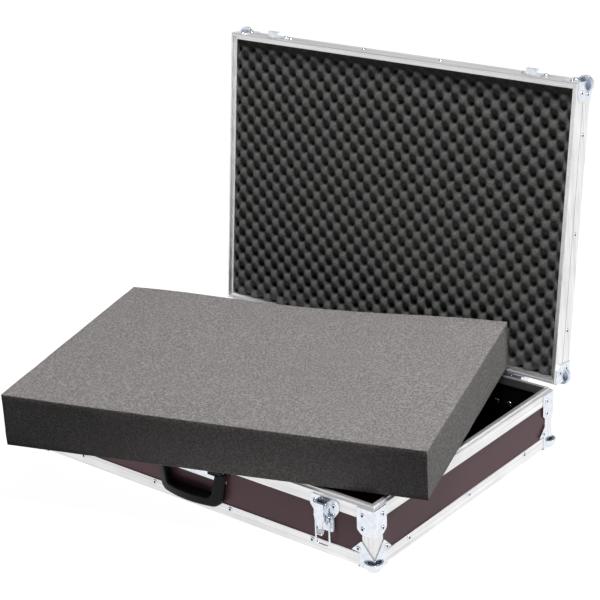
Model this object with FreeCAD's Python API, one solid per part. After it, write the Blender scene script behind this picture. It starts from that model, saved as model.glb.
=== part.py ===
"""Transport case: a shallow plywood tray and hinged lid with aluminium edges, latches and foam.

Units are millimetres, +Z is up and the front faces -Y. The origin is the centre of the floor
board's underside. The lid stands open on its hinge stops and the foam insert lies across the rim.
"""
import FreeCAD, Part
import math
import os

from FreeCAD import Vector

# Whole case
case_length = 640.0
case_depth = 450.0
base_height = 90.0
lid_height = 40.0
lid_open_deg = 95.7
rim_gap = 0.3
least_line = 0.001

# Boards and aluminium profiles
board = 6.5
sheet = 1.5
edge_face = 19.0
edge_foot = 13.0
edge_break = 0.7
base_rim_face = 19.0
shoulder = 3.5
tongue_height = 3.0
rim_lip = 1.0
rim_lip_drop = 10.0
lid_rim_face = 20.0
lid_lip_clearance = 0.3
tongue_clearance = 1.0
lid_rim_web = 1.2
lid_lip_rise = 8.0
corner_leg = 19.5

# Zinc plate corners
plate = 1.2
ball_radius = 13.3
ball_wall = 2.7
ball_inset = 5.0
ball_rise = 8.3
ball_mouth_rise = 2.1
ball_mouth_depth = 8.0
base_wing_length = 36.5
base_wing_height = 37.5
lid_wing_length = 28.0
lid_wing_height = 37.0
under_wing = 27.0
brace_width = 27.0
brace_height = 40.0
brace_top_drop = 2.0
base_wing_shares = ((0.65, 0.0, 0.0), (0.65, 0.55, 0.0), (1.0, 0.58, 0.0), (0.58, 1.0, 0.0),
                    (0.53, 1.0, 0.0), (0.18, 0.6, 0.0), (0.0, 0.38, 0.0))
lid_wing_shares = ((1.0, 0.0, 0.0), (1.0, 0.8, 0.0), (0.75, 1.0, 0.0), (0.0, 1.0, 0.0))
under_wing_shares = ((1.0, 0.0, 0.0), (1.0, 0.45, 0.0), (0.45, 1.0, 0.0), (0.0, 1.0, 0.0))
brace_shares = ((1.0, 0.0, 0.0), (1.0, 0.84, 0.2), (0.72, 1.0, 0.0), (0.0, 1.0, 0.0))

# Draw latches
latch_inset = 80.0
latch_sheet = 1.5
latch_plate_width = 48.0
latch_plate_height = 50.0
latch_plate_drop = 4.0
latch_plate_shares = ((-0.5, 0.0, 0.13), (0.5, 0.0, 0.13), (0.5, 0.32, 0.0), (0.32, 0.56, 0.0),
                      (0.32, 1.0, 0.13), (-0.32, 1.0, 0.13), (-0.32, 0.56, 0.0), (-0.5, 0.32, 0.0))
latch_foot_share = 0.6
pivot_out = 8.0
pivot_drop = 13.0
ear_sheet = 1.2
ear_radius = 5.2
ear_gap = 0.3
lever_width = 16.0
lever_sheet = 1.2
lever_front = 6.0
lever_rise = 4.0
lever_length = 42.0
lever_cheek_length = 23.0
lever_side_shares = ((1.0, -0.1), (1.0, 0.19), (0.83, 0.62), (0.45, 0.86), (1.0, 1.0))
lever_front_shares = ((0.5, -0.1, 0.0), (0.5, 0.33, 0.0), (0.2, 0.78, 0.0), (0.36, 0.87, 0.0),
                      (0.36, 1.0, 0.1))
lever_pin_radius = 1.8
trunnion_radius = 1.5
trunnion_drop = 18.0
trunnion_set_back = 1.5
bail_radius = 1.4
bail_span = 22.6
bail_length = 43.0
bail_bend = 5.0
bail_bend_steps = 3
bail_wire_sides = 8
bail_eye_radius = 3.2
running_clearance = 0.05
press_clearance = 0.02

# Keepers on the lid
keeper_sheet = 1.5
keeper_width = 42.0
keeper_height = 16.0
keeper_round = 4.0
keeper_hook_gap = 1.0
keeper_hook_depth = 9.0
keeper_lip_rise = 4.6
keeper_ledge_gap = 0.4

# Lid hinges
hinge_inset = 80.0
hinge_width = 50.0
hinge_sheet = 2.0
hinge_pin_radius = 2.0
knuckle_radius = 4.0
knuckle_gap = 0.4
hinge_axis_out = 4.5
hinge_leaf_drop = 52.0
hinge_lid_leaf = 36.0
hinge_round = 6.0
stop_reach = 24.0
stop_depth = 30.0
stop_width = 6.0
stop_gap = 0.3

# Carrying handle
handle_shift = 6.0
handle_span = 128.0
handle_low_span = 111.0
handle_arm = 15.0
handle_drop = 74.5
handle_grip = 14.5
handle_round = 16.0
handle_depth = 17.6
handle_end_depth = 4.2
handle_stand_off = 1.9
handle_soften = 2.0
handle_pivot_out = 8.9
handle_pivot_drop = 17.0
handle_knuckle = 5.2
handle_pin_radius = 2.0
handle_plate_sheet = 1.2
handle_plate_width = 120.0
handle_plate_top_drop = 3.0
handle_plate_drop = 39.5
bracket_cheek = 2.9
bracket_sheet = 2.0
bracket_gap = 0.4
bracket_top_drop = 5.0
bracket_flange = 20.0
bracket_flange_drop = 31.0
bracket_outer_reach = 5.0

# Foam
insert_clearance = 1.0
insert_thickness = 72.4
insert_tilt_deg = 0.88
insert_roll_deg = -0.655
insert_yaw_deg = 18.12
insert_shift_right = 10.74
insert_corner_reach = 3.0
insert_gap = 0.3
crate_clearance = 1.0
crate_pitch_across = 14.0
crate_pitch_along = 15.0
crate_peak_setback = 4.0
crate_relief = 15.5

# Levels and places that follow from the sizes above
bottom_z = -sheet
rim_z = bottom_z + base_height
lid_rim_z = rim_z + rim_gap
lid_top_z = lid_rim_z + lid_height
front_y = -case_depth / 2
rear_y = case_depth / 2
rim_depth = sheet + board + rim_lip
lid_rebate = tongue_height + tongue_clearance
latch_offset = case_length / 2 - latch_inset
hinge_offset = case_length / 2 - hinge_inset
hinge_axis = Vector(0, rear_y + hinge_axis_out, rim_z + rim_gap / 2)
ACROSS = Vector(1, 0, 0)
ALONG = Vector(0, 1, 0)
UP = Vector(0, 0, 1)


def rounded_wire(corners, place):
    """Closed wire through (a, b, radius) corners, each rounded, mapped to space by place(a, b)."""
    flat = [Vector(a, b, 0) for a, b, radius in corners]
    rounds = []
    for i, (a, b, radius) in enumerate(corners):
        back = (flat[i - 1] - flat[i]).normalize()
        ahead = (flat[(i + 1) % len(flat)] - flat[i]).normalize()
        half = back.getAngle(ahead) / 2
        middle = (back + ahead).normalize()
        run = radius / math.tan(half)
        inset = radius / math.sin(half) - radius
        rounds.append((flat[i] + back * run, flat[i] + middle * inset, flat[i] + ahead * run))
    edges = []
    for i, (start, middle, end) in enumerate(rounds):
        if corners[i][2] > 0:
            arc = Part.Arc(place(start.x, start.y), place(middle.x, middle.y), place(end.x, end.y))
            edges.append(arc.toShape())
        following = rounds[(i + 1) % len(rounds)][0]
        if (following - end).Length > least_line:
            edges.append(Part.makeLine(place(end.x, end.y), place(following.x, following.y)))
    return Part.Wire(edges)


def plate_from(corners, place, push):
    """Flat plate: a rounded outline pushed along a vector."""
    return Part.Face(rounded_wire(corners, place)).extrude(push)


def scaled(shares, width, height):
    """Corners in real sizes from shares of a width, a height and, for the rounding, the width."""
    return [(a * width, b * height, radius * width) for a, b, radius in shares]


def box(x0, x1, y0, y1, z0, z1):
    """Block between two corners."""
    return Part.makeBox(x1 - x0, y1 - y0, z1 - z0, Vector(x0, y0, z0))


def rod(radius, x0, x1, y, z):
    """Round bar along X."""
    return Part.makeCylinder(radius, x1 - x0, Vector(x0, y, z), ACROSS)


def on_front(a, b):
    """Place of a point a millimetres in front of the case and b above the rim, at X = 0."""
    return Vector(0, front_y - a, rim_z + b)


def moved(shape, x):
    """Copy of a shape moved along X."""
    copy = shape.copy()
    copy.translate(Vector(x, 0, 0))
    return copy


def pair(shape, offset):
    """A left and a right copy of a shape, as separate solids."""
    return Part.makeCompound([moved(shape, -offset), moved(shape, offset)])


def opened(shape):
    """Copy of a closed lid's piece, turned back to where the lid stands open."""
    copy = shape.copy()
    copy.rotate(hinge_axis, ACROSS, -lid_open_deg)
    return copy


def at_corner(shape, side_x, side_y):
    """Copy of a piece drawn on the front left corner, mirrored to the corner named by two signs."""
    copy = shape.copy()
    if side_x > 0:
        copy = copy.mirror(Vector(), ACROSS)
    if side_y > 0:
        copy = copy.mirror(Vector(), ALONG)
    copy.translate(Vector(side_x * case_length / 2, side_y * case_depth / 2, 0))
    return copy


def mitred_bar(section, length, depth):
    """Front bar of a frame with mitred ends; the section is (inward, height) points."""
    x = length / 2
    y = -depth / 2
    points = [Vector(-x, y + u, z) for u, z in section]
    bar = Part.Face(Part.makePolygon(points + points[:1])).extrude(Vector(length, 0, 0))
    deep = max(u for u, z in section)
    low = min(z for u, z in section)
    high = max(z for u, z in section)
    plan = [Vector(-x, y, low), Vector(x, y, low), Vector(x - deep, y + deep, low),
            Vector(deep - x, y + deep, low)]
    mitre = Part.Face(Part.makePolygon(plan + plan[:1])).extrude(Vector(0, 0, high - low))
    return bar.common(mitre)


def frame_bars(section, prefix):
    """The four mitred bars of a rectangular frame, by name."""
    front = mitred_bar(section, case_length, case_depth)
    right = mitred_bar(section, case_depth, case_length)
    bars = {"front": front, "rear": front.copy(), "right": right, "left": right.copy()}
    for name, turn in (("rear", 180), ("right", 90), ("left", -90)):
        bars[name].rotate(Vector(), UP, turn)
    return {f"{prefix}_{name}": bar for name, bar in bars.items()}


def edge_section(corner_z, inward):
    """Edge angle: an upright leg and a leg under or over the board, with a broken outer edge."""
    return [(edge_break, corner_z), (edge_foot, corner_z), (edge_foot, corner_z + inward * sheet),
            (sheet, corner_z + inward * sheet), (sheet, corner_z + inward * edge_face),
            (0, corner_z + inward * edge_face), (0, corner_z + inward * edge_break)]


def base_rim_section():
    """Rim profile of the tray: a shoulder for the lid, a raised tongue and two legs on the board."""
    return [(edge_break, rim_z), (shoulder, rim_z), (shoulder, rim_z + tongue_height),
            (rim_depth, rim_z + tongue_height), (rim_depth, rim_z - rim_lip_drop),
            (rim_depth - rim_lip, rim_z - rim_lip_drop), (rim_depth - rim_lip, rim_z - sheet),
            (sheet, rim_z - sheet), (sheet, rim_z - base_rim_face), (0, rim_z - base_rim_face),
            (0, rim_z - edge_break)]


def lid_rim_section():
    """Rim profile of the lid: a lip that meets the shoulder and a rebate that clears the tongue."""
    lip = shoulder - lid_lip_clearance
    web = lid_rim_z + lid_rebate
    return [(edge_break, lid_rim_z), (lip, lid_rim_z), (lip, web), (rim_depth, web),
            (rim_depth, web + lid_lip_rise), (rim_depth - rim_lip, web + lid_lip_rise),
            (rim_depth - rim_lip, web + lid_rim_web), (sheet, web + lid_rim_web),
            (sheet, lid_rim_z + lid_rim_face), (0, lid_rim_z + lid_rim_face), (0, lid_rim_z + edge_break)]


def wall_boards(low, high):
    """Front, rear, left and right boards of a tray between two heights."""
    x = case_length / 2 - sheet
    y = case_depth / 2 - sheet
    return {"front": box(-x, x, -y, board - y, low, high), "rear": box(-x, x, y - board, y, low, high),
            "left": box(-x, board - x, board - y, y - board, low, high),
            "right": box(x - board, x, board - y, y - board, low, high)}


def flat_board(low):
    """Floor or lid board that fills the space between the walls."""
    x = case_length / 2 - sheet - board
    y = case_depth / 2 - sheet - board
    return box(-x, x, -y, y, low, low + board)


def corner_angle():
    """Upright aluminium angle on the tray's front left edge, between the two rails."""
    low = bottom_z + edge_face
    high = rim_z - base_rim_face
    corners = [(0, edge_break, 0), (edge_break, 0, 0), (corner_leg, 0, 0), (corner_leg, sheet, 0),
               (sheet, sheet, 0), (sheet, corner_leg, 0), (0, corner_leg, 0)]
    return plate_from(corners, lambda a, b: Vector(a, b, low), Vector(0, 0, high - low))


def corner_brace():
    """Folded brace over the rim and the upright angle, front left."""
    top = rim_z - brace_top_drop
    outline = [(-plate, 0, 0)] + scaled(brace_shares, brace_width, brace_height)
    outline[-1] = (-plate, brace_height, 0)
    front = plate_from(outline, lambda a, b: Vector(a, 0, top - b), Vector(0, -plate, 0))
    side = plate_from(outline, lambda a, b: Vector(0, a, top - b), Vector(-plate, 0, 0))
    return front.fuse(side).removeSplitter()


def ball_corner(wing_shares, wing_length, wing_height):
    """Stamped corner: an open half ball and three wings, drawn on a corner at the origin."""
    wing = [(-plate, -plate, 0)] + scaled(wing_shares, wing_length, wing_height)
    wing[1] = (wing[1][0], -plate, 0)
    wing[-1] = (-plate, wing[-1][1], 0)
    under = [(-plate, -plate, 0)] + scaled(under_wing_shares, under_wing, under_wing)
    under[1] = (under_wing, -plate, 0)
    under[-1] = (-plate, under_wing, 0)
    centre = Vector(ball_inset, ball_inset, ball_rise)
    mouth = centre + ball_mouth_rise * UP
    above = Part.makeCylinder(2 * ball_radius, ball_radius, mouth)
    bore = Part.makeCylinder(ball_radius - ball_wall, ball_mouth_depth, mouth, -UP)
    ball = Part.makeSphere(ball_radius, centre).cut([above, bore])
    front = plate_from(wing, lambda a, b: Vector(a, 0, b), Vector(0, -plate, 0))
    side = plate_from(wing, lambda a, b: Vector(0, a, b), Vector(-plate, 0, 0))
    bottom = plate_from(under, lambda a, b: Vector(a, b, 0), Vector(0, 0, -plate))
    reach = 2 * ball_radius + wing_length + wing_height
    inside = Part.makeBox(reach, reach, reach)
    return ball.fuse([front, side, bottom]).cut(inside).removeSplitter()


def base_ball_corner():
    """Ball corner under the tray, front left."""
    corner = ball_corner(base_wing_shares, base_wing_length, base_wing_height)
    corner.translate(Vector(0, 0, bottom_z))
    return corner


def lid_ball_corner():
    """Ball corner on the closed lid's top, front left."""
    corner = ball_corner(lid_wing_shares, lid_wing_length, lid_wing_height)
    corner = corner.mirror(Vector(), UP)
    corner.translate(Vector(0, 0, lid_top_z))
    return corner


def latch_ear(side):
    """Ear of the latch plate that carries the lever's pin."""
    inner = lever_width / 2 + ear_gap
    root = latch_sheet / 2
    tip = pivot_out + ear_radius
    low = -pivot_drop - ear_radius
    high = -pivot_drop + ear_radius
    outline = [(root, low, 0), (tip, low, ear_radius), (tip, high, ear_radius), (root, high, 0)]
    ear = plate_from(outline, on_front, Vector(ear_sheet, 0, 0))
    ear.translate(Vector(inner if side > 0 else -inner - ear_sheet, 0, 0))
    return ear


def latch_plate():
    """Lobed back plate on the rim's face, with a foot down to the board and two ears."""
    outline = scaled(latch_plate_shares, latch_plate_width, latch_plate_height)
    top = rim_z - latch_plate_drop
    body = plate_from(outline, lambda a, b: Vector(a, front_y, top - b), Vector(0, -latch_sheet, 0))
    foot_x = latch_plate_width * latch_foot_share / 2
    foot_low = top - latch_plate_height + foot_x / 2
    foot = box(-foot_x, foot_x, front_y, front_y + sheet, foot_low, rim_z - base_rim_face)
    body = body.fuse([foot, latch_ear(-1), latch_ear(1)])
    pivot = on_front(pivot_out, -pivot_drop)
    bore = rod(lever_pin_radius + press_clearance, -lever_width, lever_width, pivot.y, pivot.z)
    return body.cut(bore).removeSplitter()


def lever_pin():
    """Pin that the lever turns on, held in the plate's ears."""
    pivot = on_front(pivot_out, -pivot_drop)
    end = lever_width / 2 + ear_gap + ear_sheet
    return rod(lever_pin_radius, -end, end, pivot.y, pivot.z)


def trunnion_place():
    """Centre of the trunnion that joins the bail to the lever."""
    return on_front(pivot_out - trunnion_set_back, -pivot_drop - trunnion_drop)


def lever_front_sheet():
    """Front of the lever: bent in side view, tapering to a V and a finger lip in front view."""
    outer = [(a * lever_front, -b * lever_length) for a, b in lever_side_shares]
    inner = [(a - lever_sheet, b) for a, b in reversed(outer)]
    side = [on_front(pivot_out + a, b - pivot_drop) for a, b in outer + inner]
    bent = Part.Face(Part.makePolygon(side + side[:1])).extrude(Vector(lever_width, 0, 0))
    bent.translate(Vector(-lever_width / 2, 0, 0))
    half = scaled(lever_front_shares, lever_width, -lever_length)
    outline = half + [(-a, b, radius) for a, b, radius in reversed(half)]
    near = front_y - pivot_out - 2 * lever_front
    face = plate_from(outline, lambda a, b: Vector(a, near, rim_z - pivot_drop + b),
                      Vector(0, 2 * lever_front + pivot_out, 0))
    return bent.common(face)


def lever_cheek(side):
    """Side cheek of the lever, with room for the pin and the trunnion."""
    low = -lever_cheek_length
    slant = lever_side_shares[2][0] * lever_front
    outline = [(-ear_radius, lever_rise, lever_rise), (lever_front, lever_rise, lever_sheet),
               (lever_front, low / 2, 0), (slant, low, lever_sheet), (-ear_radius, low, bail_eye_radius)]
    cheek = plate_from(outline, lambda a, b: on_front(pivot_out + a, b - pivot_drop),
                       Vector(lever_sheet, 0, 0))
    inner = lever_width / 2 - lever_sheet
    cheek.translate(Vector(inner if side > 0 else -inner - lever_sheet, 0, 0))
    return cheek


def latch_lever():
    """Folded lever: front sheet and two cheeks, bored for the pin and the trunnion."""
    body = lever_front_sheet().fuse([lever_cheek(-1), lever_cheek(1)])
    pivot = on_front(pivot_out, -pivot_drop)
    place = trunnion_place()
    pin_bore = rod(lever_pin_radius + running_clearance, -lever_width, lever_width, pivot.y, pivot.z)
    trunnion_bore = rod(trunnion_radius + running_clearance, -lever_width, lever_width, place.y, place.z)
    return body.cut([pin_bore, trunnion_bore]).removeSplitter()


def latch_trunnion():
    """Cross pin that turns in the lever and carries the bail's eyes."""
    place = trunnion_place()
    end = bail_span / 2 + bail_radius
    return rod(trunnion_radius, -end, end, place.y, place.z)


def latch_bail():
    """Wire bail hanging from the trunnion: two eyes, two legs and a rounded cross bar."""
    place = trunnion_place()
    x = bail_span / 2
    top = place.z - (bail_eye_radius + trunnion_radius) / 2
    low = place.z - bail_length
    path = [Vector(-x, place.y, top)]
    for side in (-1, 1):
        for step in range(bail_bend_steps + 1):
            share = step if side < 0 else bail_bend_steps - step
            turn = math.radians(90 * share / bail_bend_steps)
            path.append(Vector(side * (x - bail_bend + bail_bend * math.cos(turn)), place.y,
                               low + bail_bend - bail_bend * math.sin(turn)))
    path.append(Vector(x, place.y, top))
    ring = [path[0] + Vector(bail_radius, 0, 0)]
    for side in range(bail_wire_sides):
        turn = 2 * math.pi * (side + 1) / bail_wire_sides
        ring.append(path[0] + Vector(bail_radius * math.cos(turn), bail_radius * math.sin(turn), 0))
    wire = Part.makePolygon(path).makePipeShell([Part.makePolygon(ring)], True, False, 1)
    eyes = []
    for side in (-1, 1):
        centre = side * x
        eye = rod(bail_eye_radius, centre - bail_radius, centre + bail_radius, place.y, place.z)
        eyes.append(eye)
    reach = bail_span
    bore = rod(trunnion_radius + running_clearance, -reach, reach, place.y, place.z)
    return wire.fuse(eyes).cut(bore).removeSplitter()


def keeper():
    """Catch on the closed lid's front: a riveted plate and a hook that takes the bail's cross bar."""
    bar = trunnion_place() + Vector(0, 0, bail_length)
    ledge = bar.z - bail_radius - keeper_ledge_gap
    tip = ledge + keeper_lip_rise
    plate_low = tip + keeper_hook_gap
    out = keeper_hook_depth + keeper_sheet
    hook = [(0, ledge - keeper_sheet), (out, ledge - keeper_sheet), (out, tip), (keeper_hook_depth, tip),
            (keeper_hook_depth, ledge), (keeper_sheet, ledge), (keeper_sheet, plate_low + keeper_round),
            (0, plate_low + keeper_round)]
    half = bail_span / 2 - bail_radius - keeper_hook_gap / 2
    points = [Vector(-half, front_y - a, z) for a, z in hook]
    body = Part.Face(Part.makePolygon(points + points[:1])).extrude(Vector(2 * half, 0, 0))
    x = keeper_width / 2
    outline = [(-x, plate_low, keeper_round), (x, plate_low, keeper_round),
               (x, plate_low + keeper_height, keeper_round), (-x, plate_low + keeper_height, keeper_round)]
    back = plate_from(outline, lambda a, b: Vector(a, front_y, b), Vector(0, -keeper_sheet, 0))
    return body.fuse(back).removeSplitter()


def knuckles(spans):
    """Hinge knuckles on the lid's axis over spans of X."""
    return [rod(knuckle_radius, x0, x1, hinge_axis.y, hinge_axis.z) for x0, x1 in spans]


def hinge_spans():
    """Spans of X of the tray leaf's two knuckles and of the lid leaf's one."""
    third = hinge_width / 6
    outer = hinge_width / 2
    inner = third + knuckle_gap / 2
    return [(-outer, -inner), (inner, outer)], [(knuckle_gap / 2 - third, third - knuckle_gap / 2)]


def hinge_stop(x):
    """Gusset behind the tray leaf that the opened lid leaf rests on."""
    lean = math.radians(lid_open_deg - 90)
    back = hinge_axis_out - hinge_sheet
    near = 2 * knuckle_radius
    far = stop_reach - back
    drop = back * math.cos(lean) - stop_gap
    rise = [(reach, drop - reach * math.tan(lean)) for reach in (near, far)]
    outline = [(-back, -knuckle_radius), (-back, -stop_depth), (far, -knuckle_radius)] + rise[::-1] + [(0, 0)]
    points = [Vector(x, hinge_axis.y + a, hinge_axis.z + b) for a, b in outline]
    return Part.Face(Part.makePolygon(points + points[:1])).extrude(Vector(stop_width, 0, 0))


def hinge_base_leaf():
    """Leaf on the tray's rear with two knuckles, a foot down to the board and two stop gussets."""
    x = hinge_width / 2
    top = rim_z - knuckle_radius - knuckle_gap
    low = rim_z - hinge_leaf_drop
    outline = [(-x, top, 0), (x, top, 0), (x, low, hinge_round), (-x, low, hinge_round)]
    leaf = plate_from(outline, lambda a, b: Vector(a, rear_y, b), Vector(0, hinge_sheet, 0))
    foot = box(hinge_round - x, x - hinge_round, rear_y - sheet, rear_y, low + hinge_round,
               rim_z - base_rim_face)
    pieces = [foot, hinge_stop(-x), hinge_stop(x - stop_width)]
    for x0, x1 in hinge_spans()[0]:
        neck = box(x0, x1, rear_y + hinge_sheet / 4, rear_y + hinge_sheet, top - hinge_sheet, hinge_axis.z)
        pieces.append(neck)
    leaf = leaf.fuse(pieces + knuckles(hinge_spans()[0]))
    bore = rod(hinge_pin_radius + press_clearance, -hinge_width, hinge_width, hinge_axis.y, hinge_axis.z)
    return leaf.cut(bore).removeSplitter()


def hinge_lid_leaf_closed():
    """Leaf on the closed lid's rear with its middle knuckle."""
    x = hinge_width / 2
    low = lid_rim_z + knuckle_radius + knuckle_gap
    high = lid_rim_z + hinge_lid_leaf
    outline = [(-x, low, 0), (x, low, 0), (x, high, hinge_round), (-x, high, hinge_round)]
    leaf = plate_from(outline, lambda a, b: Vector(a, rear_y, b), Vector(0, hinge_sheet, 0))
    pieces = []
    for x0, x1 in hinge_spans()[1]:
        neck = box(x0, x1, rear_y + hinge_sheet / 4, rear_y + hinge_sheet, hinge_axis.z, low + hinge_sheet)
        pieces.append(neck)
    leaf = leaf.fuse(pieces + knuckles(hinge_spans()[1]))
    bore = rod(hinge_pin_radius + running_clearance, -hinge_width, hinge_width, hinge_axis.y, hinge_axis.z)
    return leaf.cut(bore).removeSplitter()


def hinge_pin():
    """Pin through the knuckles of one hinge."""
    return rod(hinge_pin_radius, -hinge_width / 2, hinge_width / 2, hinge_axis.y, hinge_axis.z)


def handle_arm_centre():
    """Distance of an arm's top from the middle of the handle."""
    return (handle_span - handle_arm) / 2


def handle_outline():
    """U of the grip with arms that draw in towards it, in X and distance below the rim."""
    outer = handle_span / 2
    low_outer = handle_low_span / 2
    top = -handle_pivot_drop - handle_knuckle - bracket_gap
    low = -handle_drop
    grip = low + handle_grip
    return [(-outer, top, 0), (-low_outer, low, handle_round), (low_outer, low, handle_round),
            (outer, top, 0), (outer - handle_arm, top, 0), (low_outer - handle_arm, grip, handle_round / 2),
            (handle_arm - low_outer, grip, handle_round / 2), (handle_arm - outer, top, 0)]


def handle_bow(near):
    """Slab with a flat back and a front that is bowed outwards, which gives the grip its depth."""
    x = handle_span / 2
    end = near - handle_end_depth
    low = rim_z - handle_drop
    arc = Part.Arc(Vector(-x, end, low), Vector(0, near - handle_depth, low), Vector(x, end, low)).toShape()
    back = Part.makePolygon([Vector(x, end, low), Vector(x, near, low), Vector(-x, near, low), Vector(-x, end, low)])
    return Part.Face(Part.Wire([arc] + back.Edges)).extrude(UP * handle_drop)


def handle_body():
    """Moulded grip hanging against the front, bowed outwards, with a knuckle on each arm."""
    near = front_y - handle_stand_off
    grip = plate_from(handle_outline(), lambda a, b: Vector(a, near, rim_z + b), Vector(0, -handle_depth, 0))
    grip = grip.common(handle_bow(near))
    rims = [edge for edge in grip.Edges if edge.BoundBox.YMax < near - running_clearance
            and edge.BoundBox.ZLength + edge.BoundBox.XLength > handle_soften]
    grip = grip.makeChamfer(handle_soften, rims)
    pivot = on_front(handle_pivot_out, -handle_pivot_drop)
    tongue = handle_arm / 2 - bracket_cheek - bracket_gap
    deep = handle_pivot_drop + handle_knuckle + bracket_gap + handle_soften
    pieces = []
    bores = []
    for side in (-1, 1):
        x = side * handle_arm_centre()
        pieces.append(rod(handle_knuckle, x - tongue, x + tongue, pivot.y, pivot.z))
        pieces.append(box(x - tongue, x + tongue, near - handle_end_depth, pivot.y + handle_knuckle,
                          rim_z - deep, pivot.z))
        bores.append(rod(handle_pin_radius + running_clearance, x - handle_arm, x + handle_arm,
                         pivot.y, pivot.z))
    return moved(grip.fuse(pieces).cut(bores).removeSplitter(), handle_shift)


def handle_plate():
    """Sheet behind the handle, joggled from the rim's face back to the wall board."""
    x = handle_plate_width / 2
    high = rim_z - handle_plate_top_drop
    step = rim_z - base_rim_face - bracket_gap
    low = rim_z - handle_plate_drop
    wall = front_y + sheet
    section = [(front_y, high), (front_y - handle_plate_sheet, high), (front_y - handle_plate_sheet, step),
               (wall - handle_plate_sheet, step - sheet), (wall - handle_plate_sheet, low), (wall, low),
               (wall, step), (front_y, step)]
    points = [Vector(-x, y, z) for y, z in section]
    bar = Part.Face(Part.makePolygon(points + points[:1])).extrude(Vector(handle_plate_width, 0, 0))
    return moved(bar, handle_shift)


def handle_bracket():
    """Right bracket on the handle plate: a back with an inner flange and two cheeks for the arm's knuckle."""
    x = handle_arm / 2
    pivot = on_front(handle_pivot_out, -handle_pivot_drop)
    seat = handle_plate_sheet
    low = -handle_pivot_drop - handle_knuckle
    high = -bracket_top_drop
    inner = -x - bracket_flange
    y0 = front_y - seat - bracket_sheet
    y1 = front_y - seat
    back = box(inner, x + bracket_outer_reach, y0, y1, rim_z + low, rim_z + high)
    flange = box(inner, -x - bracket_cheek, y0, y1, rim_z - bracket_flange_drop, rim_z + high)
    outline = [(seat, low, 0), (handle_pivot_out + handle_knuckle, low, handle_knuckle),
               (handle_pivot_out + handle_knuckle, high, handle_knuckle), (seat, high, 0)]
    pieces = [flange]
    for start in (-x, x - bracket_cheek):
        cheek = plate_from(outline, on_front, Vector(bracket_cheek, 0, 0))
        cheek.translate(Vector(start, 0, 0))
        pieces.append(cheek)
    bore = rod(handle_pin_radius + press_clearance, -handle_arm, handle_arm, pivot.y, pivot.z)
    return back.fuse(pieces).cut(bore).removeSplitter()


def handle_bracket_pair():
    """The right bracket and its mirror image, as separate solids."""
    right = moved(handle_bracket(), handle_arm_centre())
    left = right.mirror(Vector(), ACROSS)
    return moved(Part.makeCompound([left, right]), handle_shift)


def handle_pin():
    """Pin of one handle bracket."""
    pivot = on_front(handle_pivot_out, -handle_pivot_drop)
    return rod(handle_pin_radius, -handle_arm / 2, handle_arm / 2, pivot.y, pivot.z)


def foam_insert():
    """Foam block that fills the tray, lying skew across the rim with a corner on the open lid."""
    x = case_length / 2 - rim_depth - insert_clearance
    y = case_depth / 2 - rim_depth - insert_clearance
    block = box(-x, x, -y, y, 0, insert_thickness)
    turn = FreeCAD.Rotation(insert_yaw_deg, insert_roll_deg, insert_tilt_deg)
    corner = turn.multVec(Vector(x, y, 0))
    left = turn.multVec(Vector(-x, 0, 0))
    along = turn.multVec(ALONG)
    seat_y = hinge_axis.y + insert_corner_reach - corner.y
    run = (front_y + shoulder - seat_y - left.y) / along.y
    seat_z = rim_z + tongue_height + insert_gap - left.z - run * along.z
    block.Placement = FreeCAD.Placement(Vector(insert_shift_right, seat_y, seat_z), turn)
    return block


def crate_height(column, row):
    """Share of the relief at a grid point: peaks and pits alternate like a chequerboard."""
    return 1 if (column + row) % 2 == 0 else 0


def egg_crate_foam():
    """Convoluted foam lining of the closed lid: a grid of peaks and pits, facing down."""
    half_x = case_length / 2 - rim_depth - crate_clearance
    half_y = case_depth / 2 - rim_depth - crate_clearance
    columns = max(2, round(2 * half_x / crate_pitch_across))
    rows = max(2, round(2 * half_y / crate_pitch_along))
    back = lid_top_z - sheet - board
    peak = lid_rim_z + crate_peak_setback
    grid = []
    for row in range(rows + 1):
        y = half_y * (2 * row / rows - 1)
        line = []
        for column in range(columns + 1):
            pit = 1 - crate_height(column, row)
            line.append(Vector(half_x * (2 * column / columns - 1), y, peak + crate_relief * pit))
        grid.append(line)
    faces = []
    for row in range(rows):
        for column in range(columns):
            a, b = grid[row][column], grid[row][column + 1]
            d, c = grid[row + 1][column], grid[row + 1][column + 1]
            halves = ((a, b, c), (a, c, d)) if crate_height(column, row) else ((a, b, d), (b, c, d))
            faces += [Part.Face(Part.makePolygon([p, q, r, p])) for p, q, r in halves]
    rims = [grid[0], [line[-1] for line in grid], grid[-1][::-1], [line[0] for line in grid][::-1]]
    corners = [Vector(rim[0].x, rim[0].y, back) for rim in rims]
    for i, rim in enumerate(rims):
        skirt = rim + [corners[(i + 1) % len(corners)], corners[i]]
        faces.append(Part.Face(Part.makePolygon(skirt + skirt[:1])))
    faces.append(Part.Face(Part.makePolygon(corners + corners[:1])))
    shell = Part.makeShell(faces)
    shell.sewShape()
    solid = Part.makeSolid(shell)
    if solid.Volume < 0:
        solid.reverse()
    return solid


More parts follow.
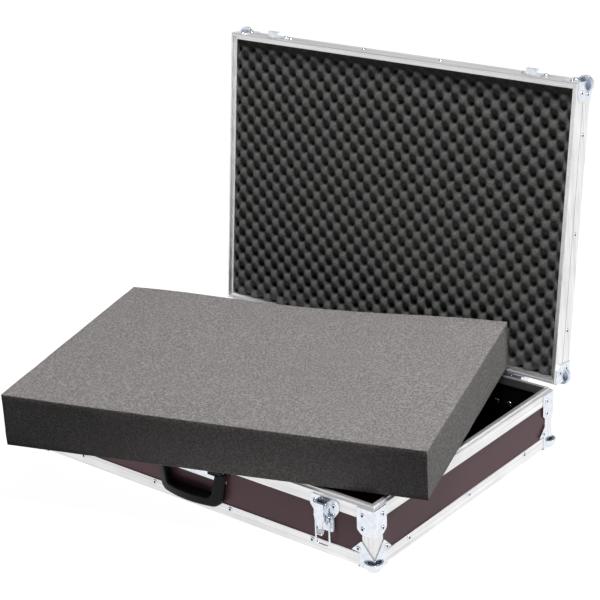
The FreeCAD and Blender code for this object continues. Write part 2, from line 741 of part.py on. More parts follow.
def base_pieces():
    """Every piece that is fixed to the tray, by name."""
    pieces = {"base_floor": flat_board(0)}
    for name, wall in wall_boards(0, rim_z - sheet).items():
        pieces[f"base_{name}_wall"] = wall
    pieces.update(frame_bars(edge_section(bottom_z, 1), "base_edge"))
    pieces.update(frame_bars(base_rim_section(), "base_rim"))
    sides = {"front_left": (-1, -1), "front_right": (1, -1), "rear_left": (-1, 1), "rear_right": (1, 1)}
    balls = []
    braces = []
    for name, (side_x, side_y) in sides.items():
        pieces[f"corner_angle_{name}"] = at_corner(corner_angle(), side_x, side_y)
        balls.append(at_corner(base_ball_corner(), side_x, side_y))
        braces.append(at_corner(corner_brace(), side_x, side_y))
    pieces["base_ball_corners"] = Part.makeCompound(balls)
    pieces["corner_braces"] = Part.makeCompound(braces)
    pieces["latch_plates"] = pair(latch_plate(), latch_offset)
    pieces["latch_lever_pins"] = pair(lever_pin(), latch_offset)
    pieces["hinge_base_leaves"] = pair(hinge_base_leaf(), hinge_offset)
    pieces["hinge_pins"] = pair(hinge_pin(), hinge_offset)
    pieces["handle_plate"] = handle_plate()
    pieces["handle_brackets"] = handle_bracket_pair()
    pieces["handle_pins"] = moved(pair(handle_pin(), handle_arm_centre()), handle_shift)
    return pieces


def moving_pieces():
    """Pieces of the latches, the handle and the loose insert, by name."""
    pieces = {"handle_grip": handle_body(), "foam_insert": foam_insert()}
    for name, side in (("left", -1), ("right", 1)):
        pieces[f"latch_lever_{name}"] = moved(latch_lever(), side * latch_offset)
        pieces[f"latch_trunnion_{name}"] = moved(latch_trunnion(), side * latch_offset)
        pieces[f"latch_bail_{name}"] = moved(latch_bail(), side * latch_offset)
    return pieces


def lid_pieces():
    """Every piece of the lid, drawn closed and turned open, by name."""
    boards = wall_boards(lid_rim_z + lid_rebate + lid_rim_web, lid_top_z - sheet)
    pieces = {"lid_panel": flat_board(lid_top_z - sheet - board)}
    pieces["lid_wall_strips"] = Part.makeCompound(list(boards.values()))
    pieces.update(frame_bars(edge_section(lid_top_z, -1), "lid_edge"))
    pieces.update(frame_bars(lid_rim_section(), "lid_rim"))
    balls = [at_corner(lid_ball_corner(), side_x, side_y) for side_x in (-1, 1) for side_y in (-1, 1)]
    pieces["lid_ball_corners"] = Part.makeCompound(balls)
    pieces["latch_keepers"] = pair(keeper(), latch_offset)
    pieces["hinge_lid_leaves"] = pair(hinge_lid_leaf_closed(), hinge_offset)
    pieces["lid_foam"] = egg_crate_foam()
    return {name: opened(piece) for name, piece in pieces.items()}


def main():
    """Build every piece and write one file for each."""
    os.makedirs("parts", exist_ok=True)
    pieces = {**base_pieces(), **moving_pieces(), **lid_pieces()}
    for name, piece in pieces.items():
        piece.exportStep(f"parts/{name}.step")
    print(len(pieces), "pieces")


main()
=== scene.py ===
"""Looks of an open transport case: phenolic boards, aluminium edges, zinc hardware and foam.

Lengths are metres and angles degrees, in the part's frame: +Z up, the front facing -Y, the origin at
the centre of the floor board's underside. What is drawn anew on the lid is drawn on the closed lid and
then turned back on its hinge axis.
"""
import logging
import math
from dataclasses import dataclass
from enum import Enum
from itertools import pairwise, product

import bmesh
import bpy
import numpy as np
from mathutils import Matrix, Vector, noise


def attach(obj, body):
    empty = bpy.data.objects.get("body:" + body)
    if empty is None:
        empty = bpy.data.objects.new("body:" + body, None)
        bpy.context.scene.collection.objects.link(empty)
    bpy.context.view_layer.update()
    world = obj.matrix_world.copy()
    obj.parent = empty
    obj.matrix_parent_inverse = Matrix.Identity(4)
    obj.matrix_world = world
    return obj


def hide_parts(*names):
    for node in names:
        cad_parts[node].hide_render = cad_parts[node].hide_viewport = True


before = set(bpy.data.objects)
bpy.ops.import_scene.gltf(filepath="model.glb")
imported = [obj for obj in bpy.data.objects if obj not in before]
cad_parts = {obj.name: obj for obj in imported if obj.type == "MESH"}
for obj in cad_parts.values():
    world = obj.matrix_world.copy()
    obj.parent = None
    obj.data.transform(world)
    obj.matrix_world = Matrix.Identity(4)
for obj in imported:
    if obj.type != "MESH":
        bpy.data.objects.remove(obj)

Socket = bpy.types.NodeSocket
Triple = tuple[float, float, float]  # a place, a colour, or turns about X, Y and Z
Span = tuple[float, float]  # the two ends of a range
Skin = tuple[np.ndarray, list[tuple[int, ...]]]  # points, and the point numbers of each face
Spot = tuple[Vector, Vector]  # a place and its outward direction

LOG = logging.getLogger("transport_case")
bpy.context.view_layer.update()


# Shared sizes


@dataclass(frozen=True)
class CaseFrame:
    """Levels and places of the case that several sub-assemblies share."""

    half_length: float = 0.320
    half_depth: float = 0.225
    bottom: float = -0.0015
    rim: float = 0.0885
    lid_rim: float = 0.0888
    hinge_y: float = 0.2295
    hinge_z: float = 0.08865
    open_angle: float = 95.7
    latch_x: float = 0.240
    hinge_x: float = 0.240

    def opened(self) -> Matrix:
        """Turn that carries a closed lid's piece to where the lid stands open.

        Returns:
            The turn about the hinge axis.
        """
        axis = Vector((0.0, self.hinge_y, self.hinge_z))
        turn = Matrix.Rotation(math.radians(-self.open_angle), 4, "X")
        return Matrix.Translation(axis) @ turn @ Matrix.Translation(-axis)


CASE = CaseFrame()


class Side(Enum):
    """Left and right pieces, with their sign along X."""

    LEFT = -1
    RIGHT = 1

    @property
    def word(self) -> str:
        """The side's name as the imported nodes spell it."""
        return self.name.lower()


class Grain(Enum):
    """Direction of the drawing lines on a metal bar, as a turn about X, Y and Z in degrees."""

    LENGTHWAYS = (0.0, 0.0, 0.0)
    DEEP = (0.0, 0.0, 90.0)
    UPRIGHT = (0.0, 90.0, 0.0)
    LID_SIDE = (0.0, 90.0, CASE.open_angle - 90.0)


@dataclass(frozen=True)
class EdgeBreak:
    """Rounding of a piece's edges, with the least angles in degrees that are rounded and shaded sharp."""

    width: float
    least_angle: float = 38.0
    steps: int = 2
    sharp_angle: float = 35.0


PRESSED_EDGE = EdgeBreak(0.0003)


# Finishes

# Ranges of a noise: the bulk of its values, and its lighter patches
BULK: Span = (0.3, 0.7)
PATCHES: Span = (0.35, 0.7)

# Sockets of a Mix node's two colours and their mixture, and of a Map Range node's two ranges
MIX_COLOURS = (6, 7)
MIX_RESULT = 2
MAP_ENDS = ("From Min", "From Max", "To Min", "To Max")


def feed(tree: bpy.types.NodeTree, target: Socket, value: object) -> None:
    """Links a socket to another one, or sets a constant on it.

    Args:
        tree: Tree that holds the sockets.
        target: Input to feed.
        value: Output socket or constant.
    """
    if isinstance(value, Socket):
        tree.links.new(value, target)
    else:
        target.default_value = value


class NodeBoard:
    """One material's node tree, with short calls to add nodes and join their sockets."""

    def __init__(self, name: str) -> None:
        """Starts an empty tree with a shader and an output.

        Args:
            name: Name of the material.
        """
        self.material = bpy.data.materials.new(name)
        self.material.use_nodes = True
        self.tree = self.material.node_tree
        self.tree.nodes.clear()
        output = self.tree.nodes.new("ShaderNodeOutputMaterial")
        self.shader = self.tree.nodes.new("ShaderNodeBsdfPrincipled")
        self.join(self.shader.outputs["BSDF"], output.inputs["Surface"])

    def join(self, source: Socket, target: Socket) -> None:
        """Links one socket to another."""
        self.tree.links.new(source, target)

    def add(self, kind: str, **values: object) -> bpy.types.Node:
        """Adds a node and sets attributes on it.

        Args:
            kind: Node type name.
            values: Attributes of the node.

        Returns:
            The new node.
        """
        node = self.tree.nodes.new(kind)
        for key, value in values.items():
            setattr(node, key, value)
        return node

    def place(self, stretch: Triple = (1.0, 1.0, 1.0), turn: Triple = (0.0, 0.0, 0.0)) -> Socket:
        """Object coordinates, turned and stretched.

        Args:
            stretch: Scale along each axis after the turn.
            turn: Turn about X, Y and Z in degrees.

        Returns:
            A vector socket.
        """
        coordinate = self.add("ShaderNodeTexCoord")
        turned = self.add("ShaderNodeMapping")
        turned.inputs["Rotation"].default_value = [math.radians(a) for a in turn]
        self.join(coordinate.outputs["Object"], turned.inputs["Vector"])
        stretched = self.add("ShaderNodeMapping")
        stretched.inputs["Scale"].default_value = stretch
        self.join(turned.outputs["Vector"], stretched.inputs["Vector"])
        return stretched.outputs["Vector"]

    def cloud(self, where: Socket, scale: float, detail: float = 3.0,
              rough: float = 0.55) -> Socket:
        """Noise at a place.

        Args:
            where: Vector socket.
            scale: Frequency per metre.
            detail: Octaves.
            rough: Weight of the finer octaves.

        Returns:
            A socket from 0 to 1.
        """
        node = self.add("ShaderNodeTexNoise")
        node.inputs["Scale"].default_value = scale
        node.inputs["Detail"].default_value = detail
        node.inputs["Roughness"].default_value = rough
        self.join(where, node.inputs["Vector"])
        return node.outputs["Fac"]

    def cells(self, where: Socket, scale: float) -> Socket:
        """Distance to the nearest pore of a random cell pattern.

        Args:
            where: Vector socket.
            scale: Pores per metre.

        Returns:
            A socket with the distance.
        """
        node = self.add("ShaderNodeTexVoronoi")
        node.inputs["Scale"].default_value = scale
        self.join(where, node.inputs["Vector"])
        return node.outputs["Distance"]

    def spread(self, value: Socket, span: Span, result: Span = (0.0, 1.0)) -> Socket:
        """Maps a range of values to another range, clamped.

        Args:
            value: Socket to map.
            span: Inputs that give the ends of the result.
            result: First and last output.

        Returns:
            The mapped socket.
        """
        node = self.add("ShaderNodeMapRange", clamp=True)
        for key, number in zip(MAP_ENDS, span + result):
            node.inputs[key].default_value = number
        self.join(value, node.inputs["Value"])
        return node.outputs["Result"]

    def blend(self, share: Socket, first: object, second: object) -> Socket:
        """Mixes two colours.

        Args:
            share: Socket that is 0 for the first colour and 1 for the second.
            first: Colour, or socket of one.
            second: Colour, or socket of one.

        Returns:
            A colour socket.
        """
        node = self.add("ShaderNodeMix", data_type="RGBA")
        self.join(share, node.inputs[0])
        for index, colour in zip(MIX_COLOURS, (first, second)):
            feed(self.tree, node.inputs[index], (*colour, 1.0) if isinstance(colour, tuple) else colour)
        return node.outputs[MIX_RESULT]

    def sums(self, operation: str, first: object, second: object) -> Socket:
        """Joins two values by an arithmetic step.

        Args:
            operation: Name of the step, such as MULTIPLY.
            first: Number, or socket of one.
            second: Number, or socket of one.

        Returns:
            The result's socket.
        """
        node = self.add("ShaderNodeMath", operation=operation)
        for index, value in enumerate((first, second)):
            feed(self.tree, node.inputs[index], value)
        return node.outputs[0]

    def weighted(self, first: Socket, second: Socket, share: float) -> Socket:
        """Mean of two sockets, in which the first has the given share of the weight."""
        parts = self.sums("MULTIPLY", first, share), self.sums("MULTIPLY", second, 1.0 - share)
        return self.sums("ADD", *parts)

    def relief(self, height: Socket, depth: float, strength: float = 1.0) -> None:
        """Bumps the surface by a height from 0 to 1.

        Args:
            height: Socket with the height.
            depth: Depth of the relief in metres.
            strength: Share of the effect.
        """
        node = self.add("ShaderNodeBump")
        node.inputs["Strength"].default_value = strength
        node.inputs["Distance"].default_value = depth
        self.join(height, node.inputs["Height"])
        self.join(node.outputs["Normal"], self.shader.inputs["Normal"])

    def colour(self, socket: Socket) -> None:
        """Sends a socket to the base colour."""
        self.join(socket, self.shader.inputs["Base Color"])

    def rough(self, socket: Socket) -> None:
        """Sends a socket to the roughness."""
        self.join(socket, self.shader.inputs["Roughness"])

    def settle(self, **values: float) -> bpy.types.Material:
        """Sets constant shader sockets, with spaces in their names written as underscores.

        Args:
            values: Numbers by socket name.

        Returns:
            The finished material.
        """
        for key, value in values.items():
            self.shader.inputs[key.replace("_", " ")].default_value = value
        return self.material


@dataclass(frozen=True)
class PhenolicBoard:
    """Film-faced plywood: brown film with a faint fibre outside, near black inside the tray."""

    film: Triple = (0.108, 0.046, 0.058)
    film_light: Triple = (0.148, 0.068, 0.080)
    inside: Triple = (0.0065, 0.0065, 0.0068)
    half_inside_x: float = 0.3123
    half_inside_y: float = 0.2173
    floor: float = 0.003
    fibre_stretch: Triple = (1.0, 1.0, 5.0)
    fibre_scale: float = 160.0
    fibre_depth: float = 0.00008
    fibre_span: Span = (0.25, 0.75)
    patch_scale: float = 9.0
    patch_weight: float = 0.35
    rough: Span = (0.34, 0.5)

    def make(self) -> bpy.types.Material:
        """Builds the finish.

        Returns:
            The material.
        """
        nodes = NodeBoard("phenolic_board")
        plain = nodes.place()
        fibre = nodes.cloud(nodes.place(self.fibre_stretch), self.fibre_scale, detail=5.0, rough=0.62)
        patch = nodes.cloud(plain, self.patch_scale, detail=2.0)
        film = nodes.blend(nodes.spread(fibre, BULK), self.film, self.film_light)
        film = nodes.blend(nodes.spread(patch, PATCHES, (0.0, self.patch_weight)), film, self.film)
        # Near black on the faces inside the tray's walls and above its floor board
        split = nodes.add("ShaderNodeSeparateXYZ")
        nodes.join(plain, split.inputs["Vector"])
        within = nodes.sums("GREATER_THAN", split.outputs["Z"], self.floor)
        for axis, half in (("X", self.half_inside_x), ("Y", self.half_inside_y)):
            near = nodes.sums("LESS_THAN", nodes.sums("ABSOLUTE", split.outputs[axis], 0.0), half)
            within = nodes.sums("MULTIPLY", within, near)
        nodes.colour(nodes.blend(within, film, self.inside))
        nodes.rough(nodes.spread(fibre, self.fibre_span, self.rough))
        nodes.relief(fibre, self.fibre_depth, strength=0.35)
        return nodes.settle(Specular_IOR_Level=0.28)


@dataclass(frozen=True)
class SatinAluminium:
    """Anodised extrusion with fine drawing lines along the bar."""

    grain: Grain = Grain.LENGTHWAYS
    bright: Triple = (0.90, 0.895, 0.90)
    dull: Triple = (0.66, 0.655, 0.665)
    line_stretch: Triple = (3.0, 330.0, 330.0)
    line_depth: float = 0.00004
    line_share: float = 0.8
    haze_scale: float = 22.0
    contrast: Span = (0.38, 0.62)
    rough: Span = (0.36, 0.52)

    def make(self) -> bpy.types.Material:
        """Builds the finish.

        Returns:
            The material.
        """
        nodes = NodeBoard(f"satin_aluminium_{self.grain.name.lower()}")
        lines = nodes.cloud(nodes.place(self.line_stretch, self.grain.value), 1.0, detail=4.0, rough=0.7)
        haze = nodes.cloud(nodes.place(), self.haze_scale)
        shade = nodes.weighted(lines, haze, self.line_share)
        nodes.colour(nodes.blend(nodes.spread(shade, self.contrast), self.dull, self.bright))
        nodes.rough(nodes.spread(lines, BULK, self.rough))
        nodes.relief(lines, self.line_depth, strength=0.3)
        return nodes.settle(Metallic=1.0)


@dataclass(frozen=True)
class ZincPlate:
    """Bright zinc plating: a bluish mirror that is slightly clouded and wavy."""

    bright: Triple = (0.80, 0.83, 0.88)
    cloudy: Triple = (0.66, 0.70, 0.77)
    cloud_scale: float = 130.0
    cloud_share: float = 0.8
    fine_scale: float = 900.0
    contrast: Span = (0.35, 0.68)
    rough: Span = (0.12, 0.24)
    depth: float = 0.00012

    def make(self) -> bpy.types.Material:
        """Builds the finish.

        Returns:
            The material.
        """
        nodes = NodeBoard("zinc_plate")
        place = nodes.place()
        cloud = nodes.cloud(place, self.cloud_scale, detail=4.0, rough=0.6)
        fine = nodes.cloud(place, self.fine_scale, detail=2.0)
        nodes.colour(nodes.blend(nodes.spread(cloud, self.contrast), self.bright, self.cloudy))
        nodes.rough(nodes.spread(cloud, BULK, self.rough))
        nodes.relief(nodes.weighted(cloud, fine, self.cloud_share), self.depth, strength=0.2)
        return nodes.settle(Metallic=1.0)


@dataclass(frozen=True)
class TurnedSteel:
    """Turned pin steel with rings across the pin."""

    bright: Triple = (0.74, 0.74, 0.75)
    dull: Triple = (0.52, 0.52, 0.54)
    ring_stretch: Triple = (2600.0, 60.0, 60.0)
    ring_depth: float = 0.00003
    rough: Span = (0.24, 0.4)

    def make(self) -> bpy.types.Material:
        """Builds the finish.

        Returns:
            The material.
        """
        nodes = NodeBoard("turned_steel")
        rings = nodes.cloud(nodes.place(self.ring_stretch), 1.0, detail=2.0)
        nodes.colour(nodes.blend(nodes.spread(rings, BULK), self.dull, self.bright))
        nodes.rough(nodes.spread(rings, BULK, self.rough))
        nodes.relief(rings, self.ring_depth, strength=0.3)
        return nodes.settle(Metallic=1.0)


@dataclass(frozen=True)
class PaintedShadeSteel:
    """Painted shade in a rivet's hollow bore: the mandrel's end as almost black steel, faintly patchy."""

    bore_shade: Triple = (0.012, 0.012, 0.013)
    bore_shade_patch: Triple = (0.030, 0.030, 0.033)
    shade_patch_scale: float = 700.0
    rough: Span = (0.4, 0.6)

    def make(self) -> bpy.types.Material:
        """Builds the finish.

        Returns:
            The material.
        """
        nodes = NodeBoard("dark_steel")
        # Faint random patches within the painted shade of the bore
        film = nodes.cloud(nodes.place(), self.shade_patch_scale)
        nodes.colour(nodes.blend(nodes.spread(film, PATCHES), self.bore_shade, self.bore_shade_patch))
        nodes.rough(nodes.spread(film, BULK, self.rough))
        return nodes.settle(Specular_IOR_Level=0.3)


@dataclass(frozen=True)
class MouldedPlastic:
    """Black satin plastic with the fine grain of its mould."""

    base: Triple = (0.0060, 0.0060, 0.0075)
    worn: Triple = (0.0120, 0.0115, 0.0135)
    grain_scale: float = 1500.0
    grain_depth: float = 0.00006
    rub_scale: float = 60.0
    rough: Span = (0.34, 0.46)

    def make(self) -> bpy.types.Material:
        """Builds the finish.

        Returns:
            The material.
        """
        nodes = NodeBoard("moulded_plastic")
        place = nodes.place()
        grain = nodes.cloud(place, self.grain_scale, detail=2.0)
        rub = nodes.cloud(place, self.rub_scale)
        nodes.colour(nodes.blend(nodes.spread(rub, PATCHES), self.base, self.worn))
        nodes.rough(nodes.spread(rub, BULK, self.rough))
        nodes.relief(grain, self.grain_depth, strength=0.4)
        return nodes.settle(Specular_IOR_Level=0.13)


@dataclass(frozen=True)
class OpenCellFoam:
    """Open-cell foam: dark pores and lighter cell walls at millimetre scale, in broad faint patches."""

    name: str = "lining_foam"
    pore: Triple = (0.038, 0.038, 0.037)
    wall: Triple = (0.168, 0.167, 0.163)
    pore_scale: float = 620.0
    pore_share: float = 0.55
    depth: float = 0.0006
    fine_ratio: float = 1.9
    contrast: Span = (0.24, 0.66)
    patch_scale: float = 16.0
    patch_tone: float = 0.82
    patch_weight: float = 0.22

    def make(self) -> bpy.types.Material:
        """Builds the finish.

        Returns:
            The material.
        """
        nodes = NodeBoard(self.name)
        place = nodes.place()
        pores = nodes.cells(place, self.pore_scale)
        fine = nodes.cloud(place, self.pore_scale * self.fine_ratio, rough=0.7)
        broad = nodes.cloud(place, self.patch_scale)
        grit = nodes.weighted(pores, fine, self.pore_share)
        tone = nodes.blend(nodes.spread(grit, self.contrast), self.pore, self.wall)
        dark = tuple(self.patch_tone * c for c in self.wall)
        nodes.colour(nodes.blend(nodes.spread(broad, PATCHES, (0.0, self.patch_weight)), tone, dark))
        nodes.relief(grit, self.depth, strength=0.7)
        return nodes.settle(Roughness=0.96, Specular_IOR_Level=0.2, Sheen_Weight=0.08, Sheen_Roughness=0.6)


# Mesh helpers

WELD_DISTANCE = 2e-6
FLAT_ANGLE = 0.6

# Sockets of a Random Value node's upper limit and result, and of a Compare node's two whole numbers
RANDOM_MOST = 3
RANDOM_RESULT = 1
COMPARE_COUNTS = (2, 3)


def new_piece(name: str, mesh: bpy.types.Mesh, body: str,
              finish: bpy.types.Material) -> bpy.types.Object:
    """Puts a mesh in the scene as a dressed piece of one body.

    Args:
        name: Name of the piece.
        mesh: Its mesh, already in place in the part's frame.
        body: Body that it rides on.
        finish: Its material.

    Returns:
        The piece.
    """
    mesh.name = name
    mesh.materials.clear()
    mesh.materials.append(finish)
    piece = bpy.data.objects.new(name, mesh)
    bpy.context.scene.collection.objects.link(piece)
    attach(piece, body)
    LOG.info("%s: %d faces on %s", name, len(mesh.polygons), body)
    return piece


def dress(node: str, material: bpy.types.Material) -> None:
    """Gives a CAD node that stays a material.

    Args:
        node: Name of the CAD node.
        material: Its finish.
    """
    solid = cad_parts[node]
    solid.data.materials.clear()
    solid.data.materials.append(material)
    LOG.info("%s: dressed", node)


def mesh_from(verts: np.ndarray, faces: list[tuple[int, ...]]) -> bpy.types.Mesh:
    """Smooth mesh with outward normals from points and faces.

    Args:
        verts: Points as rows.
        faces: Point numbers of each face.

    Returns:
        The mesh.
    """
    mesh = bpy.data.meshes.new("raw")
    mesh.from_pydata([tuple(v) for v in verts], [], faces)
    work = bmesh.new()
    work.from_mesh(mesh)
    bmesh.ops.recalc_face_normals(work, faces=work.faces)
    for face in work.faces:
        face.smooth = True
    work.to_mesh(mesh)
    work.free()
    return mesh


def crease(mesh: bpy.types.Mesh, degrees: float) -> None:
    """Smooth shades a mesh and marks the edges above an angle as sharp.

    Args:
        mesh: Mesh to shade.
        degrees: Angle from which an edge stays sharp.
    """
    work = bmesh.new()
    work.from_mesh(mesh)
    for face in work.faces:
        face.smooth = True
    for edge in work.edges:
        edge.smooth = len(edge.link_faces) == 2 and edge.calc_face_angle(0.0) < math.radians(degrees)
    work.to_mesh(mesh)
    work.free()


def merged_copy(node: str) -> bpy.types.Mesh:
    """Copy of a CAD node's mesh with its loose triangles joined and its flat faces made whole.

    Args:
        node: Name of the CAD node.

    Returns:
        The joined mesh.
    """
    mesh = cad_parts[node].data.copy()
    work = bmesh.new()
    work.from_mesh(mesh)
    bmesh.ops.remove_doubles(work, verts=work.verts, dist=WELD_DISTANCE)
    bmesh.ops.dissolve_limit(work, angle_limit=math.radians(FLAT_ANGLE), verts=work.verts, edges=work.edges,
                             use_dissolve_boundaries=False)
    work.to_mesh(mesh)
    work.free()
    return mesh


def softened(node: str, name: str, body: str, finish: bpy.types.Material, edge: EdgeBreak) -> None:
    """Replaces a CAD node by a copy whose edges are rounded a little, so that they catch the light.

    Args:
        node: CAD node that the piece stands for.
        name: Name of the piece.
        body: Body that it rides on.
        finish: Its material.
        edge: Rounding of its edges.
    """
    mesh = merged_copy(node)
    crease(mesh, edge.sharp_angle)
    piece = new_piece(name, mesh, body, finish)
    bevel = piece.modifiers.new("broken_edges", "BEVEL")
    bevel.width = edge.width
    bevel.segments = edge.steps
    bevel.limit_method = "ANGLE"
    bevel.angle_limit = math.radians(edge.least_angle)
    bevel.use_clamp_overlap = True
    bevel.miter_outer = "MITER_ARC"
    bevel.harden_normals = False
    smooth = piece.modifiers.new("even_normals", "WEIGHTED_NORMAL")
    smooth.keep_sharp = True
    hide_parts(node)


def belts(rings: int, sides: int, closed: bool = False) -> list[tuple[int, ...]]:
    """Faces between neighbouring rings of points.

    Args:
        rings: Count of rings.
        sides: Points on each ring.
        closed: Whether the last ring joins the first.

    Returns:
        Point numbers of each face.
    """
    faces = []
    for i in range(rings if closed else rings - 1):
        low, high = i * sides, (i + 1) % rings * sides
        for k in range(sides):
            after = (k + 1) % sides
            faces.append((low + k, low + after, high + after, high + k))
    return faces


def ends(rings: int, sides: int) -> list[tuple[int, ...]]:
    """Faces that close the first and the last ring of points."""
    return [tuple(range(sides)), tuple(range((rings - 1) * sides, rings * sides))]


def tube(path: np.ndarray, radii: list[float], sides: int = 16) -> Skin:
    """Round bar along a path with closed ends.

    Args:
        path: Points of the centre line.
        radii: Radius at each point.
        sides: Sides of the section.

    Returns:
        Points and faces.
    """
    runs = np.gradient(path, axis=0)
    runs /= np.linalg.norm(runs, axis=1)[:, None]
    side = np.cross(runs[0], (0.0, 1.0, 0.0))
    verts = []
    for point, run, radius in zip(path, runs, radii):
        side = side - run * side.dot(run)
        side /= np.linalg.norm(side)
        other = np.cross(run, side)
        for k in range(sides):
            turn = 2 * math.pi * k / sides
            verts.append(point + radius * (math.cos(turn) * side + math.sin(turn) * other))
    return np.array(verts), belts(len(path), sides) + ends(len(path), sides)


def ring(centre: np.ndarray, large: float, thick: float, wide: float, steps: int = 28,
         sides: int = 12) -> Skin:
    """Oval-section ring around an axis along X.

    Args:
        centre: Middle of the ring.
        large: Radius of its centre line.
        thick: Half thickness across the ring.
        wide: Half width along X.
        steps: Steps round the ring.
        sides: Sides of the section.

    Returns:
        Points and faces.
    """
    verts = []
    for i in range(steps):
        turn = 2 * math.pi * i / steps
        out = np.array((0.0, math.cos(turn), math.sin(turn)))
        for k in range(sides):
            roll = 2 * math.pi * k / sides
            verts.append(centre + out * (large + thick * math.cos(roll))
                         + np.array((wide * math.sin(roll), 0.0, 0.0)))
    return np.array(verts), belts(steps, sides, closed=True)


def pooled(parts: list[Skin]) -> Skin:
    """Joins several point and face lists into one.

    Args:
        parts: Points and faces of each part.

    Returns:
        Points and faces of them all.
    """
    verts, faces, start = [], [], 0
    for points, quads in parts:
        verts.append(points)
        faces += [tuple(start + i for i in quad) for quad in quads]
        start += len(points)
    return np.concatenate(verts), faces


class NodeTree:
    """A Geometry Nodes tree built in the script, with named inputs."""

    def __init__(self, name: str) -> None:
        """Starts a tree with a geometry input and output.

        Args:
            name: Name of the tree.
        """
        self.tree = bpy.data.node_groups.new(name, "GeometryNodeTree")
        self.tree.interface.new_socket("Geometry", in_out="INPUT", socket_type="NodeSocketGeometry")
        self.tree.interface.new_socket("Geometry", in_out="OUTPUT", socket_type="NodeSocketGeometry")
        self.given = self.tree.nodes.new("NodeGroupInput")
        self.result = self.tree.nodes.new("NodeGroupOutput")
        self.values: dict[str, object] = {}

    def input(self, name: str, kind: str, value: object) -> Socket:
        """Adds a named input with the value that the modifier gets.

        Args:
            name: Name of the input.
            kind: Socket type.
            value: Value to set on the modifier.

        Returns:
            The socket inside the tree.
        """
        item = self.tree.interface.new_socket(name, in_out="INPUT", socket_type=kind)
        self.values[item.identifier] = value
        return self.given.outputs[name]

    def add(self, kind: str, links: dict[object, object] | None = None, **values: object) -> bpy.types.Node:
        """Adds a node, sets its attributes and feeds its inputs.

        Args:
            kind: Node type name.
            links: Sockets or constants by input name or number.
            values: Attributes of the node.

        Returns:
            The new node.
        """
        node = self.tree.nodes.new(kind)
        for key, value in values.items():
            setattr(node, key, value)
        for key, source in (links or {}).items():
            feed(self.tree, node.inputs[key], source)
        return node

    def sums(self, operation: str, *values: object) -> Socket:
        """Arithmetic step on sockets or numbers, by its operation name."""
        return self.add("ShaderNodeMath", dict(enumerate(values)), operation=operation).outputs[0]

    def finish(self, geometry: Socket, material: Socket) -> None:
        """Ends the tree with real geometry that carries its material.

        Args:
            geometry: Last geometry socket.
            material: Material socket.
        """
        real = self.add("GeometryNodeRealizeInstances", {"Geometry": geometry})
        dressed = self.add("GeometryNodeSetMaterial", {"Geometry": real.outputs["Geometry"],
                                                       "Material": material})
        self.tree.links.new(dressed.outputs["Geometry"], self.result.inputs["Geometry"])

    def mesh(self, seed: bpy.types.Mesh) -> bpy.types.Mesh:
        """Runs the tree on a mesh.

        Args:
            seed: Mesh that the tree starts from.

        Returns:
            The result as a plain mesh.
        """
        carrier = bpy.data.objects.new("carrier", seed)
        modifier = carrier.modifiers.new("nodes", "NODES")
        modifier.node_group = self.tree
        for identifier, value in self.values.items():
            modifier[identifier] = value
        bpy.context.scene.collection.objects.link(carrier)
        depsgraph = bpy.context.evaluated_depsgraph_get()
        mesh = bpy.data.meshes.new_from_object(carrier.evaluated_get(depsgraph))
        carrier.modifiers.remove(modifier)
        bpy.data.objects.remove(carrier)
        return mesh


# Sub-assemblies


@dataclass
class Boards:
    """Plywood boards of the tray and the lid: the CAD boards with a film finish."""

    finish: PhenolicBoard = PhenolicBoard()
    nodes: tuple[str, ...] = ("base_floor", "base_front_wall", "base_rear_wall", "base_left_wall",
                              "base_right_wall", "lid_panel", "lid_wall_strips")

    def build(self) -> None:
        """Dresses the boards, whose CAD shape is right."""
        material = self.finish.make()
        for node in self.nodes:
            dress(node, material)


@dataclass
class MetalEdges:
    """Aluminium rails and corner angles, with their edges broken."""

    edge: EdgeBreak = EdgeBreak(0.00035)
    bars: tuple[str, ...] = ("base_edge", "base_rim", "lid_edge", "lid_rim")
    corners: tuple[str, ...] = ("front_left", "front_right", "rear_left", "rear_right")

    def build(self) -> None:
        """Replaces each bar by a copy with softened edges and lines along its length."""
        finish = {grain: SatinAluminium(grain).make() for grain in Grain}
        for bar in self.bars:
            body = "lid" if bar.startswith("lid") else "base"
            across = Grain.LID_SIDE if body == "lid" else Grain.DEEP
            grains = {"front": Grain.LENGTHWAYS, "rear": Grain.LENGTHWAYS, "left": across, "right": across}
            for side, grain in grains.items():
                self.copy(f"{bar}_{side}", body, finish[grain])
        for corner in self.corners:
            self.copy(f"corner_angle_{corner}", "base", finish[Grain.UPRIGHT])

    def copy(self, node: str, body: str, finish: bpy.types.Material) -> None:
        """Makes one bar in place of its CAD node."""
        softened(node, f"bar_{node}", body, finish, self.edge)


@dataclass
class PressedHardware:
    """Zinc-plated pressings: ball corners, braces, plates, hinge leaves and keepers, and the steel pins."""

    edge: EdgeBreak = PRESSED_EDGE
    base_nodes: tuple[str, ...] = ("base_ball_corners", "corner_braces", "latch_plates", "hinge_base_leaves",
                                   "handle_plate")
    lid_nodes: tuple[str, ...] = ("lid_ball_corners", "latch_keepers", "hinge_lid_leaves")
    pins: tuple[str, ...] = ("latch_lever_pins", "hinge_pins", "handle_pins", "latch_trunnion_left",
                             "latch_trunnion_right")

    def build(self, finish: bpy.types.Material) -> None:
        """Replaces each pressing by a softened copy and dresses the pins.

        Args:
            finish: Zinc material.
        """
        for body, nodes in (("base", self.base_nodes), ("lid", self.lid_nodes)):
            for node in nodes:
                softened(node, f"pressed_{node}", body, finish, self.edge)
        steel = TurnedSteel().make()
        for node in self.pins:
            dress(node, steel)


